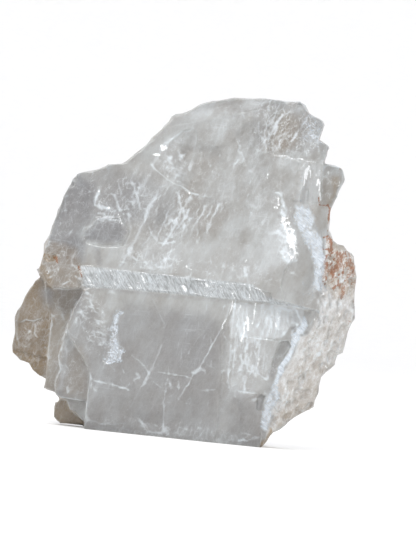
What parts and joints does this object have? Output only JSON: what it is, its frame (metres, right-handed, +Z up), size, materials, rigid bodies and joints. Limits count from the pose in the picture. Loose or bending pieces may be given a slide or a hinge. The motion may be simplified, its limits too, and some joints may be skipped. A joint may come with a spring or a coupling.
{
  "type": "selenite slab",
  "caption": "Large broken cleavage slab of clear to milky selenite with stepped faces and a rough flank, standing on a flat break.",
  "frame": {"origin": "centre of the bounding box at its bottom, on the plane that the slab stands on", "axes": "+Z up, the front cleavage face towards -Y, +X to the right of someone who faces it"},
  "size_m": [0.2906, 0.0592, 0.2974],
  "materials": {
    "selenite": "clear to milky gypsum crystal with vitreous cleavage faces, frosted breaks and some rust stain"
  },
  "bodies": {
    "root": {"selenite_slab": "selenite"}
  },
  "joints": []
}
